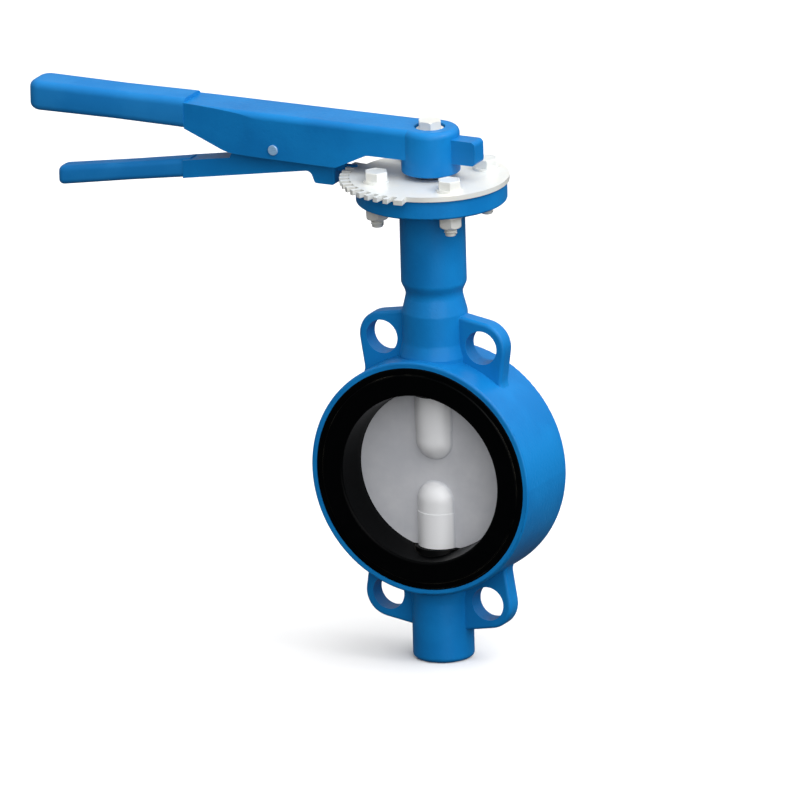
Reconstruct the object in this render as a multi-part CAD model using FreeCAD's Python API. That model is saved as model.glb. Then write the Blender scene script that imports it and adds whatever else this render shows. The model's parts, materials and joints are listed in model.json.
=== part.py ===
import FreeCAD, Part
import math
import os

from FreeCAD import Vector

# Wafer butterfly valve, DN100, with a lever handle and a squeeze trigger, shown shut.
# Millimetres. The origin is the middle of the bore, +Z runs up the stem to the handle,
# the pipe runs along Y, and the handle points to -X when the disc is across the bore.

# ---- driving dimensions --------------------------------------------------------------

# Ring, from the bore outwards
BORE_R = 50.5            # liner bore where the disc closes
MOUTH_FLARE = 1.9        # how much the liner opens towards each pipe face
LINER_WALL = 6.0
BACKING_WALL = 4.5
BODY_WALL = 12.4
BODY_WIDTH = 52.0        # along the pipe, without the liner
RIM_WIDTH = 3.6          # iron left outside the liner's face
RIM_ROUND = 1.5
FACE_THICKNESS = 5.0     # liner flange over the body's face
LINER_PROUD = 1.0        # liner face beyond the iron
FACE_STEP = 0.8          # outer part of the liner's face is this much lower
FACE_STEP_WIDTH = 4.4
BORE_LAND = 8.0          # half length of the straight bore under the disc
LINER_GAP = 0.2          # liner flange to the rim of its recess

# Disc
DISC_GAP = 0.05          # rim to liner
DISC_THICKNESS = 10.0
HUB_R = 13.6
HUB_STEP = 0.3           # the domed nose of a hub is this much thinner
HUB_STEP_AT = 26.0       # height of that step
DOME_AT = 19.0           # height where a hub's dome starts
PAD_HEIGHT = 2.5         # flat pads of the liner round the stem stand into the bore
PAD_R = 15.5
PAD_SLOPE = 2.5
PAD_GAP = 0.3

# Stems, bushes and seals
STEM_R = 7.9
RUNNING = 0.05           # radial clearance of every turning fit
SLIP = 0.03              # clearance of parts pushed together and turning as one
SQUARE = 11.0            # square drives of the upper stem
SQUARE_DEPTH = 11.0      # length of the drive inside the disc
STEM_INSERT = 35.2       # how deep each stem enters its hub
BUSH_R = 10.4
STEM_BORE_GAP = 0.6      # neck bore between the bushes
LOWER_BUSH_LENGTH = 20.0
UPPER_BUSH_LENGTH = 24.0
BOTTOM_BUSH_LENGTH = 30.0
GLAND_LENGTH = 5.0
BACKING_HOLE_GAP = 1.2
CIRCLIP_THICKNESS = 1.2
CIRCLIP_R = 10.2
GROOVE_DEPTH = 0.9
AXIAL_GAP = 0.1
END_CHAMFER = 0.8

# Neck and actuator flange, up from the ring
NECK_LENGTH = 96.6       # ring to flange
NECK_R = 20.0
WAIST_R = 17.0
WAIST_RISE = 38.6        # ring to the waist
SHOULDER_RISE = 45.0     # ring to the full neck
FOOT_R = 22.0            # where neck and boss grow out of the ring
FOOT_RISE = 8.0
NECK_LOW_RISE = 26.6     # ring to the end of the neck's straight lower part
FLANGE_THICKNESS = 12.0
FLANGE_BOLT_R = 35.0     # F07: bolt circle 70
FLANGE_MARGIN = 11.0     # bolt circle to the flange's edge
FLANGE_EDGE = 1.2
NECK_FILLET = 3.0

# Bottom boss and plug
BOSS_R = 18.7
BOSS_LENGTH = 45.1       # ring to the boss's end
BOSS_EDGE = 3.0
BOSS_FOOT_R = 19.5
STEM_TO_PLUG = 3.0       # thrust pad
LOWER_STEM_REACH = 27.6  # ring to the lower stem's end
GASKET_THICKNESS = 2.0
PLUG_R = 13.0
PLUG_LENGTH = 11.5
PLUG_SOCKET = 10.0
PLUG_SOCKET_DEPTH = 6.0

# Lugs for the pipe bolts
LUG_RISE = 14.1          # ring to the bolt circle: diameter 175
LUG_ANGLE = 67.5         # from +X
LUG_HOLE_R = 10.5
LUG_WALL = 5.2
LUG_THICKNESS = 11.5
LUG_FOOT_ANGLE = 51.4    # outer side of a lug meets the ring here
LUG_WEB_RISE = 27.6      # web between lug and neck, height above the ring
LUG_EDGE = 2.2
LUG_FOOT_FILLET = 9.0
LUG_FOOT_SPREAD = 9.0    # degrees of ring under that fillet

# Notch plate and its bolts
PLATE_THICKNESS = 3.0
PLATE_MARGIN = 1.5       # plate beyond the flange
TOOTH_HEIGHT = 8.2       # toothed part beyond the rest of the plate
NOTCH_DEPTH = 6.2
NOTCH_WIDTH = 4.2
NOTCH_PITCH = 7.5        # degrees
OPEN_ANGLE = 90.0
SECTOR_OVERRUN = 8.0     # degrees of plain plate past the last notches
PLATE_BORE_R = 11.0
BOLT_R = 4.0             # M8
BOLT_HOLE_R = 4.5
BOLT_LENGTH = 30.0
HEX_FLATS = 13.0
HEAD_HEIGHT = 5.3
NUT_HEIGHT = 6.5
WASHER_R = 8.0
WASHER_THICKNESS = 1.6

# Lever
LEVER_GAP = 3.0          # plate to the lever's head
HEAD_R = 18.0
LEVER_HEIGHT = 28.0      # head, bottom to top
LEVER_WIDTH = 31.0
LEVER_ROUND = 4.0
ARM_CLEAR = 9.5          # arm's underside above the head's bottom, over the plate bolts
CHEEK_WALL = 4.0
ROOF = 6.0
HEAD_SOLID = 30.0        # solid length before the channel
TAIL_REACH = 33.0
TAIL_WIDTH = 12.0
TAIL_LOW = 7.5
TAIL_HIGH = 22.5
HANDLE_WASHER_R = 8.5
BOLT_SEAT_DEPTH = 3.0    # recess in the lever's top for the bolt
BOLT_SEAT_GAP = 1.0      # washer to the recess's wall
HANDLE_BOLT_LENGTH = 20.0
STEM_SETBACK = 2.0       # stem end below the washer's seat
STEM_SHOULDER = 2.0      # start of the square below the lever's head

# Lever grip
GRIP_START = 62.0        # outwards from the trigger's pivot
GRIP_LENGTH = 106.4
TAPER_START = 14.0       # outwards from the pivot, where the lever starts to narrow
TAPER_END_WIDTH = 24.0   # where it meets the grip
TAPER_ROUND = 60.0
BELLY_OUT = 32.0         # outwards from the pivot, where the underside rises to the grip
BELLY_RISE = 1.0         # underside there above its lowest level
BELLY_ROUND = 30.0
CHEEK_IN = 42.0          # inwards from the pivot, where the cheeks' lower edge ends
CHEEK_ROUND = 5.0
ARM_START_IN = 26.0      # inwards from the latch, where the arm's raised underside starts
ARM_START_ROUND = 8.0
GRIP_LIP = 0.3           # lever's underside above the grip's, at its mouth
CHEEK_DROP = 0.5         # cheeks below the bottom of the head
GRIP_WIDTH = 25.0
GRIP_HEIGHT = 18.7
GRIP_RISE = 2.2          # grip's top above the lever's top
GRIP_WALL = 3.2
GRIP_ROUND = 4.0
GRIP_END_ROUND = 8.0

# Trigger
PIVOT_OUT = 43.3         # outwards from the plate's teeth
PIVOT_RISE = 6.0         # above the bottom of the lever's head
PIN_R = 2.5
PIN_HEAD_R = 3.2
PIN_HEAD = 1.0
SPACER_WALL = 2.2
TRIGGER_WIDTH = 14.0
EAR_R = 7.5
BAR_HEIGHT = 11.2
BAR_SLOPE = 9.5          # degrees, down and away from the pivot
BAR_UNDER_PIVOT = 16.4   # pivot to the bar's lower edge, straight down
LATCH_OUT = 6.3          # outwards from the plate's teeth
LATCH_LENGTH = 13.5
LATCH_DROP = 8.5         # latch block below the plate
NOSE_GAP = 0.8           # nose to the bottom of a notch
NOSE_SIDE_GAP = 0.4
NOSE_OVER = 0.5          # nose above and below the plate
TANG_START = 4.0         # how far the tang's root is inside the grip
TRIGGER_GRIP_LENGTH = 90.0
TRIGGER_GRIP_WIDTH = 13.0
TRIGGER_GRIP_WALL = 2.6
TRIGGER_GRIP_OVER = 1.0  # grip beyond the bar, above and below
SPRING_OUT = 26.0        # outwards from the pivot
SPRING_R = 4.2
SPRING_WIRE_R = 0.6
SPRING_TURNS = 7
SPRING_SEAT_RISE = 3.0
SPRING_SEAT_HALF = 6.0

# ---- sizes that follow ---------------------------------------------------------------

BACKING_IN_R = BORE_R + LINER_WALL
BODY_BORE_R = BACKING_IN_R + BACKING_WALL
BODY_R = BODY_BORE_R + BODY_WALL
RECESS_R = BODY_R - RIM_WIDTH
LINER_FACE_R = RECESS_R - LINER_GAP
BODY_HALF = BODY_WIDTH / 2
FACE_Y = BODY_HALF + LINER_PROUD
RECESS_Y = FACE_Y - FACE_THICKNESS

DISC_R = BORE_R - DISC_GAP
PAD_Z = BORE_R - PAD_HEIGHT
HUB_END_Z = PAD_Z - PAD_GAP
STEM_INNER_Z = HUB_END_Z - STEM_INSERT

FLANGE_BOTTOM_Z = BODY_R + NECK_LENGTH
FLANGE_TOP_Z = FLANGE_BOTTOM_Z + FLANGE_THICKNESS
FLANGE_R = FLANGE_BOLT_R + FLANGE_MARGIN
RING_SECTION_R = (BUSH_R - STEM_R - RUNNING) / 2
GLAND_BOTTOM_Z = FLANGE_TOP_Z - GLAND_LENGTH
UPPER_BUSH_TOP_Z = GLAND_BOTTOM_Z - 4 * RING_SECTION_R
UPPER_BUSH_BOTTOM_Z = UPPER_BUSH_TOP_Z - UPPER_BUSH_LENGTH
LOWER_BUSH_TOP_Z = BODY_BORE_R + LOWER_BUSH_LENGTH

BOTTOM_BUSH_END_Z = -BODY_BORE_R - BOTTOM_BUSH_LENGTH
BOSS_END_Z = -BODY_R - BOSS_LENGTH
LOWER_STEM_END_Z = -BODY_R - LOWER_STEM_REACH
PLUG_STEP_Z = LOWER_STEM_END_Z - AXIAL_GAP - STEM_TO_PLUG

LUG_R = LUG_HOLE_R + LUG_WALL
LUG_CIRCLE_R = BODY_R + LUG_RISE
LUG_X = LUG_CIRCLE_R * math.cos(math.radians(LUG_ANGLE))
LUG_Z = LUG_CIRCLE_R * math.sin(math.radians(LUG_ANGLE))

PLATE_TOP_Z = FLANGE_TOP_Z + PLATE_THICKNESS
PLATE_R = FLANGE_R + PLATE_MARGIN
TOOTH_R = PLATE_R + TOOTH_HEIGHT
ROOT_R = TOOTH_R - NOTCH_DEPTH
CLIP_BOTTOM_Z = FLANGE_TOP_Z + AXIAL_GAP

LEVER_BOTTOM_Z = PLATE_TOP_Z + LEVER_GAP
LEVER_TOP_Z = LEVER_BOTTOM_Z + LEVER_HEIGHT
ARM_UNDER_Z = LEVER_BOTTOM_Z + ARM_CLEAR
ROOF_Z = LEVER_TOP_Z - ROOF
SEAT_Z = LEVER_TOP_Z - BOLT_SEAT_DEPTH
STEM_TOP_Z = SEAT_Z - STEM_SETBACK
SHOULDER_Z = LEVER_BOTTOM_Z - STEM_SHOULDER

PIVOT_U = TOOTH_R + PIVOT_OUT          # u is the distance from the stem towards the grip
PIVOT_Z = LEVER_BOTTOM_Z + PIVOT_RISE
GRIP_U = PIVOT_U + GRIP_START
GRIP_END_U = GRIP_U + GRIP_LENGTH
GRIP_TOP_Z = LEVER_TOP_Z + GRIP_RISE
GRIP_LOW_Z = GRIP_TOP_Z - GRIP_HEIGHT
CHANNEL_HALF = LEVER_WIDTH / 2 - CHEEK_WALL
CHANNEL_END_U = GRIP_U - 6.0
LATCH_U = TOOTH_R + LATCH_OUT
NOSE_U = ROOT_R + NOSE_GAP
SPRING_U = PIVOT_U + SPRING_OUT

X_AXIS = Vector(1, 0, 0)
Y_AXIS = Vector(0, 1, 0)
Z_AXIS = Vector(0, 0, 1)
ORIGIN = Vector(0, 0, 0)


# ---- ways of making shapes -----------------------------------------------------------

def on_side(u, z):
    """Point of a side view, u running towards the grip."""
    return Vector(-u, 0, z)


def on_plan(u, y):
    """Point of a view from above, u running towards the grip."""
    return Vector(-u, y, 0)


def on_end(y, z):
    """Point of a view along the lever."""
    return Vector(0, y, z)


def on_pipe(r, y):
    """Point of a section that turns about the pipe's axis."""
    return Vector(r, y, 0)


def on_stem(r, z):
    """Point of a section that turns about the stem's axis."""
    return Vector(r, 0, z)


def outline(corners, place):
    """Face inside (a, b, rounding) corners, each corner rounded by its own radius."""
    runs = []
    for i, (a, b, rounding) in enumerate(corners):
        here = place(a, b)
        back = place(*corners[i - 1][:2]) - here
        ahead = place(*corners[(i + 1) % len(corners)][:2]) - here
        if rounding == 0:
            runs.append((here, None, here))
            continue
        half = back.getAngle(ahead) / 2
        back.normalize()
        ahead.normalize()
        inward = (back + ahead).normalize()
        trim = rounding / math.tan(half)
        middle = here + inward * (rounding / math.sin(half) - rounding)
        runs.append((here + back * trim, middle, here + ahead * trim))
    edges = []
    for i, (start, middle, end) in enumerate(runs):
        last = runs[i - 1][2]
        if last.distanceToPoint(start) > 1e-6:
            edges.append(Part.makeLine(last, start))
        if middle is not None:
            edges.append(Part.Arc(start, middle, end).toShape())
    return Part.Face(Part.Wire(edges))


def turned(corners, place, axis):
    """Solid of revolution of an outline."""
    return outline(corners, place).revolve(ORIGIN, axis, 360)


def across(corners, width):
    """Side view extruded to both sides of the lever's middle."""
    face = outline(corners, on_side)
    face.translate(Y_AXIS * (-width / 2))
    return face.extrude(Y_AXIS * width)


def upright(corners, low, high):
    """Plan view extruded between two heights."""
    face = outline(corners, on_plan)
    face.translate(Z_AXIS * low)
    return face.extrude(Z_AXIS * (high - low))


def lengthways(corners, start, end):
    """End view extruded between two distances along the lever."""
    face = outline(corners, on_end)
    face.translate(X_AXIS * -end)
    return face.extrude(X_AXIS * (end - start))


def rod(radius, low, high, x=0.0, y=0.0):
    """Upright cylinder between two heights."""
    return Part.makeCylinder(radius, high - low, Vector(x, y, low), Z_AXIS)


def cross_rod(radius, u, z, start, end):
    """Cylinder across the lever between two Y values."""
    return Part.makeCylinder(radius, end - start, Vector(-u, start, z), Y_AXIS)


def tube(outer, inner, low, high, x=0.0, y=0.0):
    """Upright tube between two heights."""
    return rod(outer, low, high, x, y).cut(rod(inner, low, high, x, y))


def square_rod(side, low, high):
    """Upright square bar about the stem's axis."""
    return Part.makeBox(side, side, high - low, Vector(-side / 2, -side / 2, low))


def hexagon(flats, low, high, x=0.0, y=0.0):
    """Upright hexagonal prism."""
    radius = flats / math.sqrt(3)
    points = [Vector(x + radius * math.cos(math.radians(60 * i)),
                     y + radius * math.sin(math.radians(60 * i)), low) for i in range(7)]
    return Part.Face(Part.makePolygon(points)).extrude(Z_AXIS * (high - low))


def topped_hexagon(flats, low, high, x=0.0, y=0.0):
    """Hexagonal head with its upper corners turned off."""
    radius = flats / math.sqrt(3)
    height = high - low
    cone = Part.makeCone(radius + height, flats / 2 * 0.97, height + radius - flats / 2 * 0.97,
                         Vector(x, y, low - (radius - flats / 2 * 0.97) * 0.55), Z_AXIS)
    return hexagon(flats, low, high, x, y).common(cone)


def rounded_edges(shape, radius, wanted):
    """Shape with every edge that wanted() picks rounded off."""
    return shape.makeFillet(radius, [edge for edge in shape.Edges if wanted(edge)])


def chamfered(shape, size, wanted):
    """Shape with every edge that wanted() picks chamfered."""
    return shape.makeChamfer(size, [edge for edge in shape.Edges if wanted(edge)])


def ring_at(height, radius=None):
    """Test for a full circle about Z at one height, and at one radius if given."""
    def wanted(edge):
        if not isinstance(edge.Curve, Part.Circle) or not edge.isClosed():
            return False
        same_height = abs(edge.Curve.Center.z - height) < 1e-4
        return same_height and (radius is None or abs(edge.Curve.Radius - radius) < 1e-4)
    return wanted


def bolt_places():
    """The four bolt centres of the actuator flange."""
    reach = FLANGE_BOLT_R * math.cos(math.radians(45))
    return [(x, y) for x in (-reach, reach) for y in (-reach, reach)]


# ---- housing -------------------------------------------------------------------------

def lug_plate(side, up):
    """Flat lug with its webs to the ring and the neck, centred on the ring's middle."""
    def on_ring(degrees, radius):
        return radius * math.cos(math.radians(degrees)), radius * math.sin(math.radians(degrees))

    def place(x, z):
        return Vector(side * x, -LUG_THICKNESS / 2, up * z)

    spread = on_ring(LUG_FOOT_ANGLE - LUG_FOOT_SPREAD, BODY_R - 1)
    foot = on_ring(LUG_FOOT_ANGLE, BODY_R)
    web = (WAIST_R / 2, BODY_R + LUG_WEB_RISE)
    inside = (WAIST_R / 2, BODY_R - BODY_WALL / 2)
    tangents = []
    for (x, z), turn in ((foot, 1), (web, -1)):
        reach = math.hypot(LUG_X - x, LUG_Z - z)
        heading = math.atan2(LUG_Z - z, LUG_X - x) - turn * math.asin(LUG_R / reach)
        run = math.sqrt(reach ** 2 - LUG_R ** 2)
        tangents.append((x + run * math.cos(heading), z + run * math.sin(heading)))
    corners = [(*spread, 0), (*foot, LUG_FOOT_FILLET), (*tangents[0], 0), (*tangents[1], 0),
               (*web, 0), (*inside, 0)]
    flat = outline(corners, place).extrude(Y_AXIS * LUG_THICKNESS)
    eye = Part.makeCylinder(LUG_R, LUG_THICKNESS, place(LUG_X, LUG_Z), Y_AXIS)
    return flat.fuse(eye).removeSplitter()


def lug(side, up):
    """One lug with rounded rims."""
    def on_rim(edge):
        at = edge.CenterOfMass
        return (abs(abs(at.y) - LUG_THICKNESS / 2) < 1e-6
                and math.hypot(at.x, at.z) > BODY_R
                and abs(abs(at.x) - WAIST_R / 2) > 1e-6)

    return rounded_edges(lug_plate(side, up), LUG_EDGE, on_rim)


def neck():
    """Neck and actuator flange, as cast."""
    return turned([(0, BODY_BORE_R - 1, 0),
                   (FOOT_R, BODY_BORE_R - 1, 0),
                   (FOOT_R, BODY_R, 0),
                   (NECK_R, BODY_R + FOOT_RISE, 8.0),
                   (NECK_R, BODY_R + NECK_LOW_RISE, 4.0),
                   (WAIST_R, BODY_R + WAIST_RISE, 8.0),
                   (NECK_R, BODY_R + SHOULDER_RISE, 5.0),
                   (NECK_R, FLANGE_BOTTOM_Z, NECK_FILLET),
                   (FLANGE_R, FLANGE_BOTTOM_Z, FLANGE_EDGE),
                   (FLANGE_R, FLANGE_TOP_Z, FLANGE_EDGE),
                   (0, FLANGE_TOP_Z, 0)], on_stem, Z_AXIS)


def boss():
    """Bottom boss, as cast."""
    return turned([(0, -BODY_BORE_R + 1, 0),
                   (BOSS_FOOT_R, -BODY_BORE_R + 1, 0),
                   (BOSS_FOOT_R, -BODY_R, 0),
                   (BOSS_R, -BODY_R - FOOT_RISE, 8.0),
                   (BOSS_R, BOSS_END_Z, BOSS_EDGE),
                   (0, BOSS_END_Z, 0)], on_stem, Z_AXIS)


def valve_body():
    """Iron casting: ring, lugs, neck with its flange, and bottom boss."""
    ring = turned([(0, -BODY_HALF, 0), (BODY_R, -BODY_HALF, RIM_ROUND),
                   (BODY_R, BODY_HALF, RIM_ROUND), (0, BODY_HALF, 0)], on_pipe, Y_AXIS)
    casting = ring.fuse([neck(), boss()])
    casting = casting.fuse([lug(side, up) for side in (-1, 1) for up in (-1, 1)])
    cuts = [turned([(0, -FACE_Y, 0), (RECESS_R, -FACE_Y, 0), (RECESS_R, -RECESS_Y, 0),
                    (BODY_BORE_R, -RECESS_Y, 0), (BODY_BORE_R, RECESS_Y, 0),
                    (RECESS_R, RECESS_Y, 0), (RECESS_R, FACE_Y, 0), (0, FACE_Y, 0)],
                   on_pipe, Y_AXIS)]
    for side in (-1, 1):
        for up in (-1, 1):
            start = Vector(side * LUG_X, -LUG_THICKNESS, up * LUG_Z)
            cuts.append(Part.makeCylinder(LUG_HOLE_R, 2 * LUG_THICKNESS, start, Y_AXIS))
    cuts += [rod(STEM_R + STEM_BORE_GAP, 0, FLANGE_TOP_Z),
             rod(BUSH_R, 0, LOWER_BUSH_TOP_Z),
             rod(BUSH_R, UPPER_BUSH_BOTTOM_Z, FLANGE_TOP_Z),
             rod(BUSH_R, PLUG_STEP_Z, 0),
             rod(PLUG_R, BOSS_END_Z, PLUG_STEP_Z)]
    cuts += [rod(BOLT_HOLE_R, FLANGE_BOTTOM_Z, FLANGE_TOP_Z, x, y) for x, y in bolt_places()]
    return casting.cut(cuts).removeSplitter()


def seat_liner():
    """Rubber liner that wraps over both pipe faces, with flat pads round the stems."""
    step_r = LINER_FACE_R - FACE_STEP_WIDTH
    mouth_r = BORE_R + MOUTH_FLARE
    half = [(BACKING_IN_R, RECESS_Y, 0),
            (LINER_FACE_R, RECESS_Y, 0),
            (LINER_FACE_R, FACE_Y - FACE_STEP, FACE_STEP),
            (step_r + FACE_STEP / 2, FACE_Y - FACE_STEP, 0),
            (step_r, FACE_Y, FACE_STEP / 2),
            (mouth_r, FACE_Y, 1.6),
            (BORE_R, BORE_LAND, 30.0)]
    mirrored = [(r, -y, rounding) for r, y, rounding in reversed(half)]
    sleeve = turned(half + mirrored, on_pipe, Y_AXIS)
    shell = Part.makeCylinder(BACKING_IN_R, BODY_WIDTH, Vector(0, -BODY_HALF, 0), Y_AXIS)
    top_z = BORE_R + PAD_SLOPE
    rise = top_z - PAD_Z
    pads = [Part.makeCone(PAD_R, PAD_R + PAD_SLOPE, rise, Vector(0, 0, up * PAD_Z),
                          Z_AXIS * up).common(shell) for up in (-1, 1)]
    return sleeve.fuse(pads).cut(rod(STEM_R + RUNNING, -BODY_R, BODY_R)).removeSplitter()


def seat_backing_ring():
    """Rigid ring inside the liner that keeps it round."""
    outer = Part.makeCylinder(BODY_BORE_R, 2 * RECESS_Y, Vector(0, -RECESS_Y, 0), Y_AXIS)
    inner = Part.makeCylinder(BACKING_IN_R, 2 * RECESS_Y, Vector(0, -RECESS_Y, 0), Y_AXIS)
    return outer.cut([inner, rod(STEM_R + BACKING_HOLE_GAP, -BODY_R, BODY_R)])


def bush(low, high):
    """Stem bush, pressed into the casting."""
    return tube(BUSH_R, STEM_R + RUNNING, low, high)


def seal_ring(low):
    """Round-section seal standing on a given height."""
    return Part.makeTorus(STEM_R + RUNNING + RING_SECTION_R, RING_SECTION_R,
                          Vector(0, 0, low + RING_SECTION_R), Z_AXIS)


def thrust_pad():
    """Hard pad that the lower stem stands on."""
    return rod(BUSH_R - RUNNING, PLUG_STEP_Z, PLUG_STEP_Z + STEM_TO_PLUG)


def plug_gasket():
    """Flat ring under the bottom plug."""
    return tube(PLUG_R, BUSH_R, PLUG_STEP_Z - GASKET_THICKNESS, PLUG_STEP_Z)


def bottom_plug():
    """Screwed plug that closes the bottom boss, with a hexagon socket."""
    shoulder_z = PLUG_STEP_Z - GASKET_THICKNESS
    end_z = shoulder_z - PLUG_LENGTH
    plug = rod(PLUG_R, end_z, shoulder_z).fuse(rod(BUSH_R, shoulder_z, PLUG_STEP_Z))
    plug = chamfered(plug.removeSplitter(), END_CHAMFER, ring_at(end_z))
    return plug.cut(hexagon(PLUG_SOCKET, end_z, end_z + PLUG_SOCKET_DEPTH))


def notch_plate():
    """Quadrant plate: notches from shut, at -X, round to open, at -Y."""
    first = 180.0
    sweep = OPEN_ANGLE + 2 * SECTOR_OVERRUN
    plate = rod(PLATE_R, FLANGE_TOP_Z, PLATE_TOP_Z)
    sector = Part.makeCylinder(TOOTH_R, PLATE_THICKNESS, Vector(0, 0, FLANGE_TOP_Z), Z_AXIS, sweep)
    sector.rotate(ORIGIN, Z_AXIS, first - SECTOR_OVERRUN)
    plate = plate.fuse(sector).removeSplitter()
    cuts = [rod(PLATE_BORE_R, FLANGE_TOP_Z, PLATE_TOP_Z)]
    cuts += [rod(BOLT_HOLE_R, FLANGE_TOP_Z, PLATE_TOP_Z, x, y) for x, y in bolt_places()]
    for i in range(round(OPEN_ANGLE / NOTCH_PITCH) + 1):
        notch = Part.makeBox(2 * NOTCH_DEPTH, NOTCH_WIDTH, PLATE_THICKNESS,
                             Vector(ROOT_R, -NOTCH_WIDTH / 2, FLANGE_TOP_Z))
        notch = notch.makeFillet(NOTCH_WIDTH / 4, [
            edge for edge in notch.Edges
            if abs(edge.BoundBox.XMax - ROOT_R) < 1e-6 and edge.BoundBox.ZLength > 1])
        notch.rotate(ORIGIN, Z_AXIS, first + i * NOTCH_PITCH)
        cuts.append(notch)
    return plate.cut(cuts)


def hex_bolt(under_z, length, x=0.0, y=0.0):
    """M8 bolt with its head standing on a given height."""
    shank = rod(BOLT_R, under_z - length, under_z, x, y)
    shank = chamfered(shank, END_CHAMFER, ring_at(under_z - length))
    return shank.fuse(topped_hexagon(HEX_FLATS, under_z, under_z + HEAD_HEIGHT, x, y))


def at_bolts(maker):
    """One compound with a solid from maker(x, y) at each flange bolt."""
    return Part.makeCompound([maker(x, y) for x, y in bolt_places()])


def plate_bolt(x, y):
    """Bolt through the notch plate and the flange."""
    return hex_bolt(PLATE_TOP_Z + WASHER_THICKNESS, BOLT_LENGTH, x, y)


def plate_washer(x, y):
    """Washer under a bolt head."""
    return tube(WASHER_R, BOLT_HOLE_R, PLATE_TOP_Z, PLATE_TOP_Z + WASHER_THICKNESS, x, y)


def flange_washer(x, y):
    """Washer over a nut."""
    return tube(WASHER_R, BOLT_HOLE_R, FLANGE_BOTTOM_Z - WASHER_THICKNESS, FLANGE_BOTTOM_Z, x, y)


def plate_nut(x, y):
    """Nut under the flange."""
    high = FLANGE_BOTTOM_Z - WASHER_THICKNESS
    low = high - NUT_HEIGHT
    nut = hexagon(HEX_FLATS, low, high, x, y)
    bevel = Part.makeCone(HEX_FLATS / 2 * 0.97, HEX_FLATS, HEX_FLATS * 0.7,
                          Vector(x, y, low), Z_AXIS)
    return nut.common(bevel).cut(rod(BOLT_R, low, high, x, y))


# ---- what turns with the stem --------------------------------------------------------

def hub(up):
    """One hub of the disc, with its domed nose."""
    nose_r = HUB_R - HUB_STEP
    column = Part.makeCylinder(HUB_R, HUB_END_Z - HUB_STEP_AT,
                               Vector(0, 0, up * HUB_STEP_AT), Z_AXIS * up)
    throat = Part.makeCylinder(nose_r, HUB_STEP_AT - DOME_AT,
                               Vector(0, 0, up * DOME_AT), Z_AXIS * up)
    dome = Part.makeSphere(nose_r, Vector(0, 0, up * DOME_AT))
    return column.fuse([throat, dome]).removeSplitter()


def disc():
    """Disc with a ball-turned rim, two hubs and the bores for both stems."""
    slab = Part.makeBox(4 * DISC_R, DISC_THICKNESS, 2 * HUB_END_Z,
                        Vector(-2 * DISC_R, -DISC_THICKNESS / 2, -HUB_END_Z))
    plate = Part.makeSphere(DISC_R).common(slab)
    blank = plate.fuse([hub(1), hub(-1)]).removeSplitter()
    bores = [rod(STEM_R + SLIP, STEM_INNER_Z + SQUARE_DEPTH, HUB_END_Z),
             square_rod(SQUARE + 2 * SLIP, STEM_INNER_Z, STEM_INNER_Z + SQUARE_DEPTH),
             rod(STEM_R + SLIP, -HUB_END_Z, -STEM_INNER_Z)]
    return blank.cut(bores)


def upper_stem():
    """Driving stem: square in the disc, square in the lever, tapped top."""
    round_low = STEM_INNER_Z + SQUARE_DEPTH
    bar = rod(STEM_R, round_low, SHOULDER_Z)
    bar = chamfered(bar, END_CHAMFER, ring_at(SHOULDER_Z))
    stem = bar.fuse([square_rod(SQUARE, STEM_INNER_Z + SLIP, round_low),
                     square_rod(SQUARE, SHOULDER_Z, STEM_TOP_Z)]).removeSplitter()
    groove = tube(STEM_R + 1, STEM_R - GROOVE_DEPTH, CLIP_BOTTOM_Z, CLIP_BOTTOM_Z + CIRCLIP_THICKNESS)
    bolt_end_z = SEAT_Z + WASHER_THICKNESS - HANDLE_BOLT_LENGTH
    return stem.cut([groove, rod(BOLT_R, bolt_end_z, STEM_TOP_Z)])


def lower_stem():
    """Plain trunnion below the disc."""
    stem = rod(STEM_R, LOWER_STEM_END_Z, -STEM_INNER_Z)
    stem = chamfered(stem, END_CHAMFER, ring_at(LOWER_STEM_END_Z))
    return chamfered(stem, END_CHAMFER, ring_at(-STEM_INNER_Z))


def stem_circlip():
    """Open ring in the stem's groove that keeps the stem in the neck."""
    high = CLIP_BOTTOM_Z + CIRCLIP_THICKNESS
    ring = tube(CIRCLIP_R, STEM_R - GROOVE_DEPTH, CLIP_BOTTOM_Z, high)
    gap = Part.makeBox(2 * CIRCLIP_R, STEM_R, CIRCLIP_THICKNESS,
                       Vector(0, -STEM_R / 2, CLIP_BOTTOM_Z))
    return ring.cut(gap)


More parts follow.
